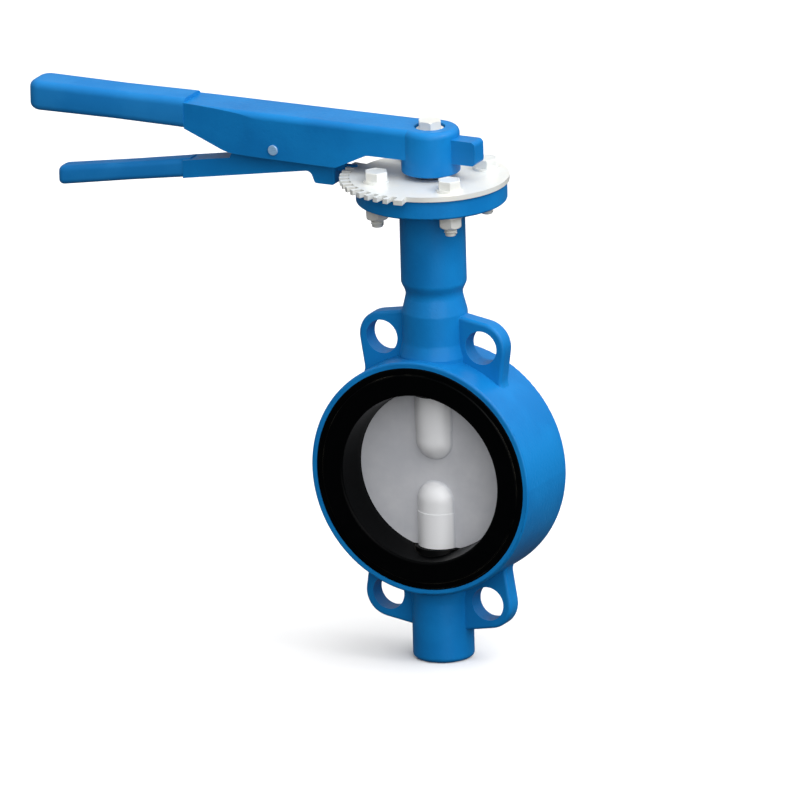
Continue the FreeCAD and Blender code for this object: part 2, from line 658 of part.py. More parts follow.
def lever_arm():
    """Cast lever: head, tail, channel section over the trigger, and a tang for the grip."""
    under = LEVER_BOTTOM_Z - CHEEK_DROP
    tang_top = GRIP_TOP_Z - GRIP_WALL
    tang_low = GRIP_LOW_Z + GRIP_WALL
    tang_end = GRIP_END_U - GRIP_WALL
    side = [(0, LEVER_TOP_Z, 0),
            (GRIP_U, LEVER_TOP_Z, 0),
            (GRIP_U, tang_top, 0),
            (tang_end, tang_top, 2.0),
            (tang_end, tang_low, 2.0),
            (GRIP_U, tang_low, 0),
            (GRIP_U, GRIP_LOW_Z + GRIP_LIP, 0),
            (PIVOT_U + BELLY_OUT, under + BELLY_RISE, BELLY_ROUND),
            (PIVOT_U - CHEEK_IN, under, CHEEK_ROUND),
            (LATCH_U - ARM_START_IN, ARM_UNDER_Z, ARM_START_ROUND),
            (0, ARM_UNDER_Z, 0)]
    taper = PIVOT_U + TAPER_START
    tang_half = GRIP_WIDTH / 2 - GRIP_WALL
    half = LEVER_WIDTH / 2
    narrow = TAPER_END_WIDTH / 2
    plan = [(0, half, 0), (taper, half, TAPER_ROUND), (GRIP_U, narrow, 0), (GRIP_U, tang_half, 0),
            (tang_end, tang_half, 3.0), (tang_end, -tang_half, 3.0),
            (GRIP_U, -tang_half, 0), (GRIP_U, -narrow, 0), (taper, -half, TAPER_ROUND),
            (0, -half, 0)]
    section = [(-half, under - 1, 0), (half, under - 1, 0),
               (half, LEVER_TOP_Z, LEVER_ROUND), (-half, LEVER_TOP_Z, LEVER_ROUND)]
    arm = across(side, LEVER_WIDTH).common(upright(plan, under - 1, LEVER_TOP_Z))
    arm = arm.common(lengthways(section, 0, tang_end))
    head = rod(HEAD_R, LEVER_BOTTOM_Z, LEVER_TOP_Z)
    head = rounded_edges(head, LEVER_ROUND, ring_at(LEVER_TOP_Z))
    head = rounded_edges(head, LEVER_ROUND / 4, ring_at(LEVER_BOTTOM_Z))
    tail_low = LEVER_BOTTOM_Z + TAIL_LOW
    tail_high = LEVER_BOTTOM_Z + TAIL_HIGH
    tail = across([(0, tail_low, 0), (-TAIL_REACH, tail_low, 2.5),
                   (-TAIL_REACH, tail_high, 3.0), (0, tail_high, 0)], TAIL_WIDTH)
    cast = arm.fuse([head, tail]).removeSplitter()
    channel = across([(HEAD_SOLID, under - 1, 0), (HEAD_SOLID, ROOF_Z, 5.0),
                      (CHANNEL_END_U, ROOF_Z, 5.0), (CHANNEL_END_U, under - 1, 0)],
                     2 * CHANNEL_HALF)
    return cast.cut([channel,
                     square_rod(SQUARE + 2 * SLIP, LEVER_BOTTOM_Z, LEVER_TOP_Z),
                     rod(HANDLE_WASHER_R + BOLT_SEAT_GAP, SEAT_Z, LEVER_TOP_Z),
                     rod(STEM_R + STEM_BORE_GAP, LEVER_BOTTOM_Z, LEVER_BOTTOM_Z + 1.0),
                     cross_rod(PIN_R, PIVOT_U, PIVOT_Z, -LEVER_WIDTH, LEVER_WIDTH)])


def sleeve_grip(side, plan_half, start, end, low, high, end_round):
    """Grip blank: a side view, rounded in plan at its end and along its edges."""
    plan = [(start, plan_half, 1.5), (end, plan_half, end_round),
            (end, -plan_half, end_round), (start, -plan_half, 1.5)]
    return across(side, 2 * plan_half).common(upright(plan, low, high))


def lever_grip():
    """Moulded sleeve on the lever's tang."""
    half = GRIP_WIDTH / 2
    side = [(GRIP_U, GRIP_TOP_Z, 1.5), (GRIP_END_U, GRIP_TOP_Z, GRIP_END_ROUND),
            (GRIP_END_U, GRIP_LOW_Z, GRIP_END_ROUND), (GRIP_U, GRIP_LOW_Z, 1.5)]
    blank = sleeve_grip(side, half, GRIP_U, GRIP_END_U, GRIP_LOW_Z, GRIP_TOP_Z, GRIP_END_ROUND)
    section = [(-half, GRIP_LOW_Z, GRIP_ROUND), (half, GRIP_LOW_Z, GRIP_ROUND),
               (half, GRIP_TOP_Z, GRIP_ROUND), (-half, GRIP_TOP_Z, GRIP_ROUND)]
    blank = blank.common(lengthways(section, GRIP_U, GRIP_END_U))
    return blank.cut(lever_arm())


def handle_washer():
    """Washer in the recess of the lever's head."""
    return tube(HANDLE_WASHER_R, BOLT_HOLE_R, SEAT_Z, SEAT_Z + WASHER_THICKNESS)


def handle_bolt():
    """Bolt that holds the lever on the stem."""
    return hex_bolt(SEAT_Z + WASHER_THICKNESS, HANDLE_BOLT_LENGTH)


def clip_y():
    """Y where the pin's clip starts."""
    return LEVER_WIDTH / 2 + AXIAL_GAP


def trigger_pin():
    """Headed pin through both cheeks of the lever."""
    near = -LEVER_WIDTH / 2
    shank = cross_rod(PIN_R, PIVOT_U, PIVOT_Z, near, clip_y() + 2 * CIRCLIP_THICKNESS)
    head = cross_rod(PIN_HEAD_R, PIVOT_U, PIVOT_Z, near - PIN_HEAD, near)
    head = rounded_edges(head, PIN_HEAD / 2, lambda edge: edge.BoundBox.YMax < near - PIN_HEAD / 2)
    groove = cross_rod(2 * PIN_R, PIVOT_U, PIVOT_Z, clip_y(), clip_y() + CIRCLIP_THICKNESS)
    groove = groove.cut(cross_rod(PIN_R - GROOVE_DEPTH, PIVOT_U, PIVOT_Z, near, LEVER_WIDTH))
    return shank.fuse(head).removeSplitter().cut(groove)


def pin_clip():
    """Open clip in the pin's groove."""
    ring = cross_rod(PIN_R + SPACER_WALL, PIVOT_U, PIVOT_Z, clip_y(), clip_y() + CIRCLIP_THICKNESS)
    bore = cross_rod(PIN_R - GROOVE_DEPTH, PIVOT_U, PIVOT_Z, -LEVER_WIDTH, LEVER_WIDTH)
    gap = Part.makeBox(PIN_R, LEVER_WIDTH, 2 * PIN_R,
                       Vector(-PIVOT_U - PIN_R / 2, 0, PIVOT_Z - 2 * PIN_R))
    return ring.cut([bore, gap])


def pivot_spacers():
    """Two tubes on the pin that keep the trigger in the middle of the channel."""
    inner = TRIGGER_WIDTH / 2 + AXIAL_GAP
    spans = [(-CHANNEL_HALF, -inner), (inner, CHANNEL_HALF)]
    return Part.makeCompound([
        cross_rod(PIN_R + SPACER_WALL, PIVOT_U, PIVOT_Z, start, end).cut(
            cross_rod(PIN_R + SLIP, PIVOT_U, PIVOT_Z, start, end)) for start, end in spans])


def spring_seat_z():
    """Height of the flat on the trigger that the spring stands on."""
    return bar_low(SPRING_OUT) + BAR_HEIGHT + SPRING_SEAT_RISE


def trigger_spring():
    """Compression spring between the trigger and the roof of the channel."""
    low = spring_seat_z() + SPRING_WIRE_R
    height = ROOF_Z - SPRING_WIRE_R - low
    path = Part.makeHelix(height / SPRING_TURNS, height, SPRING_R)
    profile = Part.Wire(Part.makeCircle(SPRING_WIRE_R, Vector(SPRING_R, 0, 0), Y_AXIS))
    spring = Part.Wire(path.Edges).makePipeShell([profile], True, True)
    spring.translate(Vector(-SPRING_U, 0, low))
    return spring


# ---- trigger -------------------------------------------------------------------------

def bar_low(out):
    """Height of the bar's lower edge at a distance outwards from the pivot."""
    return PIVOT_Z - BAR_UNDER_PIVOT - out * math.tan(math.radians(BAR_SLOPE))


def trigger_lever():
    """Trigger: latch block and nose, ear on the pin, bar, and a tang for the grip."""
    tang = TRIGGER_GRIP_WALL - TRIGGER_GRIP_OVER
    root = GRIP_START + TANG_START
    tang_end = GRIP_START + TRIGGER_GRIP_LENGTH - TRIGGER_GRIP_WALL
    latch_low = FLANGE_TOP_Z - LATCH_DROP
    latch_high = PLATE_TOP_Z + LEVER_GAP + 2.0
    latch_back = LATCH_U + LATCH_LENGTH
    seat_z = spring_seat_z()
    seat_in = SPRING_OUT - SPRING_SEAT_HALF
    seat_out = SPRING_OUT + SPRING_SEAT_HALF

    def bar(out, above=0.0):
        return (PIVOT_U + out, bar_low(out) + above)

    side = [(LATCH_U, latch_low, 2.0),
            (LATCH_U, latch_high, 2.0),
            (PIVOT_U - EAR_R, PIVOT_Z + 2.0, 4.0),
            (*bar(12.0, BAR_HEIGHT), 6.0),
            (*bar(seat_in - 1.0, BAR_HEIGHT), 0),
            (PIVOT_U + seat_in, seat_z, 0.5),
            (PIVOT_U + seat_out, seat_z, 0.5),
            (*bar(seat_out + 2.0, BAR_HEIGHT), 0),
            (*bar(root, BAR_HEIGHT), 0),
            (*bar(root, BAR_HEIGHT - tang), 0),
            (*bar(tang_end, BAR_HEIGHT - tang), 1.5),
            (*bar(tang_end, tang), 1.5),
            (*bar(root, tang), 0),
            (*bar(root), 0),
            (latch_back + 3.0, bar_low(latch_back + 3.0 - PIVOT_U), 4.0),
            (latch_back, latch_low, 2.0)]
    blank = across(side, TRIGGER_WIDTH)
    half = TRIGGER_WIDTH / 2
    tang_half = TRIGGER_GRIP_WIDTH / 2 - TRIGGER_GRIP_WALL
    low = bar_low(tang_end) - 1
    plan = [(LATCH_U, half, 1.0), (PIVOT_U + root, half, 0), (PIVOT_U + root, tang_half, 0),
            (PIVOT_U + tang_end, tang_half, 2.0), (PIVOT_U + tang_end, -tang_half, 2.0),
            (PIVOT_U + root, -tang_half, 0), (PIVOT_U + root, -half, 0), (LATCH_U, -half, 1.0)]
    blank = blank.common(upright(plan, low, LEVER_TOP_Z))
    ear = cross_rod(EAR_R, PIVOT_U, PIVOT_Z, -half, half)
    nose_half = NOTCH_WIDTH / 2 - NOSE_SIDE_GAP
    nose = across([(NOSE_U, FLANGE_TOP_Z - NOSE_OVER, 0.6), (NOSE_U, PLATE_TOP_Z + NOSE_OVER, 0.6),
                   (LATCH_U + 2, PLATE_TOP_Z + NOSE_OVER, 0), (LATCH_U + 2, FLANGE_TOP_Z - NOSE_OVER, 0)],
                  2 * nose_half)
    blank = blank.fuse([ear, nose]).removeSplitter()
    return blank.cut(cross_rod(PIN_R + RUNNING, PIVOT_U, PIVOT_Z, -half, half))


def trigger_grip():
    """Moulded sleeve on the trigger's tang."""
    start = GRIP_START
    end = GRIP_START + TRIGGER_GRIP_LENGTH
    half = TRIGGER_GRIP_WIDTH / 2
    over = TRIGGER_GRIP_OVER
    corners = [(start, BAR_HEIGHT + over, 1.2), (end, BAR_HEIGHT + over, 5.5),
               (end, -over, 5.5), (start, -over, 1.2)]
    side = [(PIVOT_U + out, bar_low(out) + above, rounding) for out, above, rounding in corners]
    low = bar_low(end) - 2 * over
    high = bar_low(start) + BAR_HEIGHT + 2 * over
    blank = sleeve_grip(side, half, PIVOT_U + start, PIVOT_U + end, low, high, 6.0)
    slope = math.radians(BAR_SLOPE)
    top = (BAR_HEIGHT + over) * math.cos(slope)
    bottom = -over * math.cos(slope)
    section = lengthways([(-half, bottom, 3.0), (half, bottom, 3.0), (half, top, 3.0), (-half, top, 3.0)],
                         -BAR_HEIGHT, TRIGGER_GRIP_LENGTH + BAR_HEIGHT)
    section.rotate(ORIGIN, Y_AXIS, -BAR_SLOPE)
    section.translate(on_side(PIVOT_U + start, bar_low(start)))
    return blank.common(section).cut(trigger_lever())


# ---- nodes ---------------------------------------------------------------------------

def stem_o_rings():
    """Two seals between the upper bush and the gland."""
    return Part.makeCompound([seal_ring(UPPER_BUSH_TOP_Z),
                              seal_ring(UPPER_BUSH_TOP_Z + 2 * RING_SECTION_R)])


NODES = {
    "valve_body": valve_body,
    "seat_liner": seat_liner,
    "seat_backing_ring": seat_backing_ring,
    "lower_neck_bush": lambda: bush(BODY_BORE_R, LOWER_BUSH_TOP_Z),
    "upper_neck_bush": lambda: bush(UPPER_BUSH_BOTTOM_Z, UPPER_BUSH_TOP_Z),
    "stem_o_rings": stem_o_rings,
    "gland_ring": lambda: bush(GLAND_BOTTOM_Z, FLANGE_TOP_Z),
    "bottom_bush": lambda: bush(BOTTOM_BUSH_END_Z, -BODY_BORE_R),
    "bottom_o_ring": lambda: seal_ring(BOTTOM_BUSH_END_Z - 2 * RING_SECTION_R),
    "thrust_pad": thrust_pad,
    "plug_gasket": plug_gasket,
    "bottom_plug": bottom_plug,
    "notch_plate": notch_plate,
    "plate_bolts": lambda: at_bolts(plate_bolt),
    "plate_washers": lambda: at_bolts(plate_washer),
    "flange_washers": lambda: at_bolts(flange_washer),
    "plate_nuts": lambda: at_bolts(plate_nut),
    "disc": disc,
    "upper_stem": upper_stem,
    "lower_stem": lower_stem,
    "stem_circlip": stem_circlip,
    "lever_arm": lever_arm,
    "lever_grip": lever_grip,
    "handle_washer": handle_washer,
    "handle_bolt": handle_bolt,
    "trigger_pin": trigger_pin,
    "pin_clip": pin_clip,
    "pivot_spacers": pivot_spacers,
    "trigger_spring": trigger_spring,
    "trigger_lever": trigger_lever,
    "trigger_grip": trigger_grip,
}

os.makedirs("parts", exist_ok=True)
for name, make in NODES.items():
    shape = make()
    shape.exportStep(f"parts/{name}.step")
    print(f"{name}: {len(shape.Solids)} solid(s), {shape.Volume / 1000:.2f} cm3, valid {shape.isValid()}")
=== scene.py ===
import json
import logging
import math
from dataclasses import dataclass
from enum import Enum
from typing import Callable

import bmesh
import bpy
from mathutils import Matrix, Vector


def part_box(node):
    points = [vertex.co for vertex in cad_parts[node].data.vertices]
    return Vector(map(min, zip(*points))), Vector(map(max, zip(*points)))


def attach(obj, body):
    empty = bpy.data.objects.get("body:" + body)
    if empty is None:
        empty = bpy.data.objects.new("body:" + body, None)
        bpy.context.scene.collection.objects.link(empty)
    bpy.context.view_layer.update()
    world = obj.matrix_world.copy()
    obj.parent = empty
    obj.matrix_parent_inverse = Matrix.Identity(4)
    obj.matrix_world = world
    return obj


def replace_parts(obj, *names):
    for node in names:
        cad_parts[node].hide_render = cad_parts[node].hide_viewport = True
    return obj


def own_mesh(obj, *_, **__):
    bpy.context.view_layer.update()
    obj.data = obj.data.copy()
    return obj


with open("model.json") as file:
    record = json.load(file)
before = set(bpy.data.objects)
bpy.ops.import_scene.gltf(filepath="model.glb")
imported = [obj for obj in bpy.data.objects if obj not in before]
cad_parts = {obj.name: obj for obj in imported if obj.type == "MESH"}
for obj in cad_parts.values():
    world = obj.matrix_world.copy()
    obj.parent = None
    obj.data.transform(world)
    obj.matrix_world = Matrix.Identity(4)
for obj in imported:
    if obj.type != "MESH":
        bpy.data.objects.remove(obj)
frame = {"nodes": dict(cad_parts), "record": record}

# A wafer butterfly valve with a lever handle: finishes, fine pieces and a plain studio.
# Metres. +Z runs up the stem, the pipe runs along Y, the handle points to -X when shut.

LOG = logging.getLogger("valve")
Colour = tuple[float, float, float]
MM = 0.001
NEAR = 1e-6                 # places closer than this are the same
WELD = 0.002 * MM           # points of a swept form closer than this are merged
FACING = 0.99               # a face points along an axis above this cosine
Z_AXIS = Vector((0.0, 0.0, 1.0))
MIX_LOW, MIX_HIGH = 6, 7    # colour inputs of a Mix node
MIX_COLOUR = 2              # its colour output
EDGE_SAMPLES = 4            # rays of a Bevel node
EDGE_RANGE = (0.02, 0.25)   # bend of its normal where an edge begins and is full


class Slot(Enum):
    """Material slots of the record that new pieces take their finish from."""

    GRIP = "blue_grip"
    ZINC = "pale_zinc"
    SPRING = "spring_steel"


# ---- shader expressions ---------------------------------------------------------------

class Field:
    """One output socket of a shader, used in Python expressions."""

    def __init__(self, shader: "NodeGraph", socket: bpy.types.NodeSocket) -> None:
        """Keeps the shader and the socket."""
        self.shader = shader
        self.socket = socket

    def _math(self, operation: str, *values: "Field | float") -> "Field":
        """Adds one Math node over this field's shader."""
        return self.shader.node("ShaderNodeMath", {"operation": operation},
                                dict(enumerate(values)))

    def __add__(self, other: "Field | float") -> "Field":
        """Sum."""
        return self._math("ADD", self, other)

    def __sub__(self, other: "Field | float") -> "Field":
        """Difference."""
        return self._math("SUBTRACT", self, other)

    def __mul__(self, other: "Field | float") -> "Field":
        """Product."""
        return self._math("MULTIPLY", self, other)

    def __rsub__(self, other: float) -> "Field":
        """A number minus this field."""
        return self._math("SUBTRACT", other, self)

    __radd__ = __add__
    __rmul__ = __mul__

    def clamped(self, low: float, high: float) -> "Field":
        """Maps low..high of this field onto 0..1, smoothly."""
        return self.shader.node("ShaderNodeMapRange", {"interpolation_type": "SMOOTHSTEP"},
                                {"Value": self, "From Min": low, "From Max": high})

    def size(self) -> "Field":
        """This field without its sign."""
        return self._math("ABSOLUTE", self)

    def sine(self) -> "Field":
        """Sine of this field."""
        return self._math("SINE", self)


class NodeGraph:
    """A node tree that expressions add nodes to."""

    def __init__(self, tree: bpy.types.NodeTree) -> None:
        """Keeps the tree and empties it."""
        self.tree = tree
        self.tree.nodes.clear()

    def put(self, socket: bpy.types.NodeSocket, value: object) -> None:
        """Links a field to a socket, or sets a plain value on it.

        Args:
            socket: Input to fill.
            value: A Field, a number or a tuple.
        """
        if isinstance(value, Field):
            self.tree.links.new(value.socket, socket)
        elif isinstance(value, tuple) and len(value) == 3 and socket.type == "RGBA":
            socket.default_value = (*value, 1.0)
        else:
            socket.default_value = value

    def add(self, kind: str, settings: dict[str, object] | None = None,
            inputs: dict[int | str, object] | None = None) -> bpy.types.Node:
        """Adds any node.

        Args:
            kind: Type of the node.
            settings: Properties of the node, set first.
            inputs: Values or fields by socket name or number.

        Returns:
            The node.
        """
        made = self.tree.nodes.new(kind)
        for key, value in (settings or {}).items():
            setattr(made, key, value)
        for key, value in (inputs or {}).items():
            self.put(made.inputs[key], value)
        return made

    def node(self, kind: str, settings: dict[str, object] | None = None,
             inputs: dict[int | str, object] | None = None, output: int | str = 0) -> Field:
        """Adds any node and takes one of its outputs.

        Args:
            kind: Type of the node.
            settings: Properties of the node, set first.
            inputs: Values or fields by socket name or number.
            output: Which output to hand back.

        Returns:
            The chosen output as a field.
        """
        return Field(self, self.add(kind, settings, inputs).outputs[output])


class Shader(NodeGraph):
    """A procedural material on a Principled shader."""

    def __init__(self, name: str) -> None:
        """Starts a material.

        Args:
            name: Name of the material.
        """
        self.material = bpy.data.materials.new(name)
        self.material.use_nodes = True
        super().__init__(self.material.node_tree)
        self.surface = self.add("ShaderNodeBsdfPrincipled")
        shaded = Field(self, self.surface.outputs[0])
        self.add("ShaderNodeOutputMaterial", None, {"Surface": shaded})

    def place(self) -> Field:
        """Object coordinates."""
        return self.node("ShaderNodeTexCoord", output="Object")

    def stretched(self, scale: tuple[float, float, float]) -> Field:
        """Object coordinates, scaled along each axis."""
        return self.node("ShaderNodeMapping", None, {"Vector": self.place(), "Scale": scale})

    def noise(self, scale: float, detail: float = 3.0, roughness: float = 0.55,
              where: Field | None = None) -> Field:
        """Noise value from 0 to 1.

        Args:
            scale: Cycles per metre of the coordinates.
            detail: Octaves.
            roughness: Weight of the finer octaves.
            where: Coordinates, Object coordinates if left out.

        Returns:
            The noise's value.
        """
        return self.node("ShaderNodeTexNoise", None,
                         {"Vector": where or self.place(), "Scale": scale,
                          "Detail": detail, "Roughness": roughness})

    def cells(self, scale: float) -> Field:
        """Distance to the nearest Voronoi cell centre, with a number of cells per metre."""
        return self.node("ShaderNodeTexVoronoi", None,
                         {"Vector": self.place(), "Scale": scale}, "Distance")

    def axis(self, name: str) -> Field:
        """One axis of the Object coordinates, X, Y or Z."""
        return self.node("ShaderNodeSeparateXYZ", None, {0: self.place()}, name)

    def blend(self, share: Field | float, low: "Field | Colour", high: "Field | Colour") -> Field:
        """Mixes two colours.

        Args:
            share: 0 for low, 1 for high.
            low: First colour.
            high: Second colour.

        Returns:
            The mixed colour.
        """
        return self.node("ShaderNodeMix", {"data_type": "RGBA"},
                         {0: share, MIX_LOW: low, MIX_HIGH: high}, MIX_COLOUR)

    def edges(self, radius: float) -> Field:
        """Mask that is 1 along sharp edges and 0 on flats.

        Args:
            radius: Width of the edge in metres.

        Returns:
            The mask.
        """
        soft = self.node("ShaderNodeBevel", {"samples": EDGE_SAMPLES}, {"Radius": radius})
        true = self.node("ShaderNodeNewGeometry", output="Normal")
        dot = self.node("ShaderNodeVectorMath", {"operation": "DOT_PRODUCT"},
                        {0: soft, 1: true}, "Value")
        return (1.0 - dot).clamped(*EDGE_RANGE)

    def bump(self, height: Field, depth: float, over: Field | None = None) -> Field:
        """Bump from a height of 0 to 1.

        Args:
            height: The relief.
            depth: Height of 1, in metres.
            over: Normal that the bump is laid over.

        Returns:
            The normal.
        """
        inputs: dict[int | str, object] = {"Height": height, "Distance": depth, "Strength": 1.0}
        if over is not None:
            inputs["Normal"] = over
        return self.node("ShaderNodeBump", None, inputs)

    def finish(self, **sockets: object) -> bpy.types.Material:
        """Fills sockets of the Principled shader, with _ for a space.

        Args:
            sockets: Values or fields by socket name.

        Returns:
            The finished material.
        """
        for name, value in sockets.items():
            self.put(self.surface.inputs[name.replace("_", " ")], value)
        return self.material


# ---- finishes -------------------------------------------------------------------------
# A scale is a number of cycles or cells to the metre.

@dataclass(frozen=True)
class CastPaint:
    """Glossy enamel sprayed over sand-cast iron."""

    name: str = "blue_enamel"
    colour: Colour = (0.006, 0.205, 0.550)
    thin: Colour = (0.030, 0.300, 0.680)
    deep: Colour = (0.004, 0.165, 0.470)
    cloud_scale: float = 22.0
    grain_scale: float = 420.0
    peel_scale: float = 1500.0
    pit_scale: float = 260.0
    pit_size: float = 0.32
    pit_share: float = 0.3
    wear_scale: float = 160.0
    wear_share: float = 0.55
    edge_width: float = 0.9 * MM
    grain_depth: float = 0.16 * MM
    peel_depth: float = 0.035 * MM
    roughness: float = 0.36
    rough_spread: float = 0.16
    coat: float = 0.05
    coat_roughness: float = 0.15
    ior: float = 1.45
    specular: float = 0.16

    def make(self) -> bpy.types.Material:
        """Builds the material.

        Returns:
            The finished material.
        """
        s = Shader(self.name)
        cloud = s.noise(self.cloud_scale)
        grain = s.noise(self.grain_scale, 4.0, 0.6)
        peel = s.noise(self.peel_scale, 2.0)
        pits = s.cells(self.pit_scale).clamped(0.0, self.pit_size)
        edge = s.edges(self.edge_width)
        body = s.blend(cloud.clamped(0.35, 0.68), self.deep, self.colour)
        body = s.blend(cloud.clamped(0.30, 0.70) * 0.35, body, self.colour)
        wear = s.noise(self.wear_scale).clamped(0.35, 0.7)
        body = s.blend(edge * wear * self.wear_share, body, self.thin)
        relief = grain * (1.0 - self.pit_share) + pits * self.pit_share
        normal = s.bump(peel, self.peel_depth, s.bump(relief, self.grain_depth))
        rough = grain * self.rough_spread + (self.roughness - self.rough_spread / 2)
        return s.finish(Base_Color=body, Roughness=rough, Normal=normal,
                        Coat_Weight=self.coat, Coat_Roughness=self.coat_roughness,
                        IOR=self.ior, Specular_IOR_Level=self.specular)


@dataclass(frozen=True)
class MouldedSleeve:
    """Dipped vinyl sleeve of a grip."""

    name: str = "blue_vinyl"
    colour: Colour = (0.009, 0.185, 0.510)
    worn: Colour = (0.014, 0.210, 0.550)
    stipple_scale: float = 1900.0
    stipple_depth: float = 0.05 * MM
    rub_scale: float = 35.0
    roughness: float = 0.42
    ior: float = 1.45
    specular: float = 0.14

    def make(self) -> bpy.types.Material:
        """Builds the material.

        Returns:
            The finished material.
        """
        s = Shader(self.name)
        stipple = s.noise(self.stipple_scale, 3.0, 0.6)
        rub = s.noise(self.rub_scale).clamped(0.4, 0.7)
        body = s.blend(rub, self.colour, self.worn)
        rough = rub * -0.08 + stipple * 0.1 + self.roughness
        return s.finish(Base_Color=body, Roughness=rough,
                        Normal=s.bump(stipple, self.stipple_depth),
                        IOR=self.ior, Specular_IOR_Level=self.specular)


@dataclass(frozen=True)
class MouldedRubber:
    """Smooth black rubber with a faint bloom, and a warm highlight painted along its edges."""

    name: str = "black_rubber"
    colour: Colour = (0.0006, 0.0008, 0.0010)
    bloom: Colour = (0.0020, 0.0021, 0.0023)
    # warm colour of the highlight painted along the edges
    painted_edge_highlight: Colour = (0.085, 0.078, 0.062)
    dust_scale: float = 55.0
    fine_scale: float = 2400.0
    highlight_patch_scale: float = 28.0
    highlight_width: float = 0.7 * MM
    fine_depth: float = 0.02 * MM
    roughness: float = 0.27
    ior: float = 1.4
    specular: float = 0.05

    def make(self) -> bpy.types.Material:
        """Builds the material.

        Returns:
            The finished material.
        """
        s = Shader(self.name)
        dust = s.noise(self.dust_scale, 4.0, 0.6).clamped(0.5, 0.8)
        fine = s.noise(self.fine_scale, 2.0)
        body = s.blend(dust * 0.6, self.colour, self.bloom)
        # Painted highlight: a warm, lighter colour along the edges, laid in patches from noise.
        painted_highlight = s.edges(self.highlight_width) * s.noise(self.highlight_patch_scale).clamped(0.42, 0.66)
        body = s.blend(painted_highlight, body, self.painted_edge_highlight)
        rough = dust * 0.14 + fine * 0.06 + self.roughness
        return s.finish(Base_Color=body, Roughness=rough, Normal=s.bump(fine, self.fine_depth),
                        IOR=self.ior, Specular_IOR_Level=self.specular)


@dataclass(frozen=True)
class CastSteel:
    """Fine-blasted stainless casting, with the hubs painted paler than the faces as painted
    light, as if more brightly lit.
    """

    name: str = "cast_stainless"
    colour: Colour = (0.60, 0.615, 0.66)
    light: Colour = (0.72, 0.73, 0.765)
    # paler colour painted on the hubs as painted light
    painted_hub_light: Colour = (0.92, 0.93, 0.95)
    face: float = 5.3 * MM
    painted_light_from: float = 7.5 * MM
    cloud_scale: float = 30.0
    blast_scale: float = 2600.0
    blast_depth: float = 0.035 * MM
    roughness: float = 0.38
    metallic: float = 0.1

    def make(self) -> bpy.types.Material:
        """Builds the material.

        Returns:
            The finished material.
        """
        s = Shader(self.name)
        cloud = s.noise(self.cloud_scale, 4.0, 0.6)
        blast = s.noise(self.blast_scale, 3.0, 0.7)
        body = s.blend(cloud.clamped(0.3, 0.75), self.colour, self.light)
        # Painted light: from the plate's faces out to the hubs the colour turns paler, standing
        # in for brighter light on the hubs.
        body = s.blend(s.axis("Y").size().clamped(self.face, self.painted_light_from), body, self.painted_hub_light)
        rough = blast * 0.18 + self.roughness
        return s.finish(Base_Color=body, Roughness=rough, Metallic=self.metallic,
                        Normal=s.bump(blast, self.blast_depth))


@dataclass(frozen=True)
class TurnedSteel:
    """Stainless bar turned on a lathe about Z."""

    name: str = "turned_stainless"
    colour: Colour = (0.60, 0.61, 0.62)
    light: Colour = (0.75, 0.75, 0.76)
    metallic: float = 0.95
    pitch: float = 0.35 * MM
    groove_depth: float = 0.008 * MM
    streak_scale: float = 60.0
    streak_stretch: tuple[float, float, float] = (4.0, 4.0, 60.0)
    roughness: float = 0.2

    def make(self) -> bpy.types.Material:
        """Builds the material.

        Returns:
            The finished material.
        """
        s = Shader(self.name)
        grooves = (s.axis("Z") * (2 * math.pi / self.pitch)).sine() * 0.5 + 0.5
        streak = s.noise(self.streak_scale, 4.0, 0.6, s.stretched(self.streak_stretch))
        body = s.blend(streak * 0.5, self.colour, self.light)
        rough = streak * 0.14 + self.roughness
        return s.finish(Base_Color=body, Roughness=rough, Metallic=self.metallic,
                        Normal=s.bump(grooves, self.groove_depth))


@dataclass(frozen=True)
class BrightZinc:
    """Bright zinc plate over pressed or rolled steel."""

    name: str = "bright_zinc"
    colour: Colour = (0.76, 0.785, 0.775)
    dull: Colour = (0.50, 0.51, 0.52)
    warm: Colour = (0.79, 0.78, 0.73)
    spangle_scale: float = 340.0
    cloud_scale: float = 45.0
    grain_scale: float = 1300.0
    grain_depth: float = 0.02 * MM
    edge_width: float = 0.5 * MM
    roughness: float = 0.26
    metallic: float = 0.2

    def make(self) -> bpy.types.Material:
        """Builds the material.

        Returns:
            The finished material.
        """
        s = Shader(self.name)
        spangle = s.cells(self.spangle_scale)
        cloud = s.noise(self.cloud_scale, 4.0, 0.6)
        edge = s.edges(self.edge_width)
        body = s.blend(cloud.clamped(0.35, 0.7), self.colour, self.warm)
        body = s.blend(edge * 0.5, body, self.dull)
        rough = spangle * 0.12 + cloud * 0.12 + self.roughness
        return s.finish(Base_Color=body, Roughness=rough, Metallic=self.metallic,
                        Normal=s.bump(s.noise(self.grain_scale), self.grain_depth))


@dataclass(frozen=True)
class SpringSteel:
    """Dark oiled spring steel."""

    name: str = "spring_steel"
    colour: Colour = (0.18, 0.18, 0.19)
    light: Colour = (0.34, 0.34, 0.35)
    stain_scale: float = 300.0
    grain_scale: float = 3000.0
    grain_depth: float = 0.01 * MM
    roughness: float = 0.25
    metallic: float = 0.9

    def make(self) -> bpy.types.Material:
        """Builds the material.

        Returns:
            The finished material.
        """
        s = Shader(self.name)
        stain = s.noise(self.stain_scale, 4.0, 0.65)
        body = s.blend(stain, self.colour, self.light)
        rough = stain * 0.2 + self.roughness
        return s.finish(Base_Color=body, Roughness=rough, Metallic=self.metallic,
                        Normal=s.bump(s.noise(self.grain_scale), self.grain_depth))


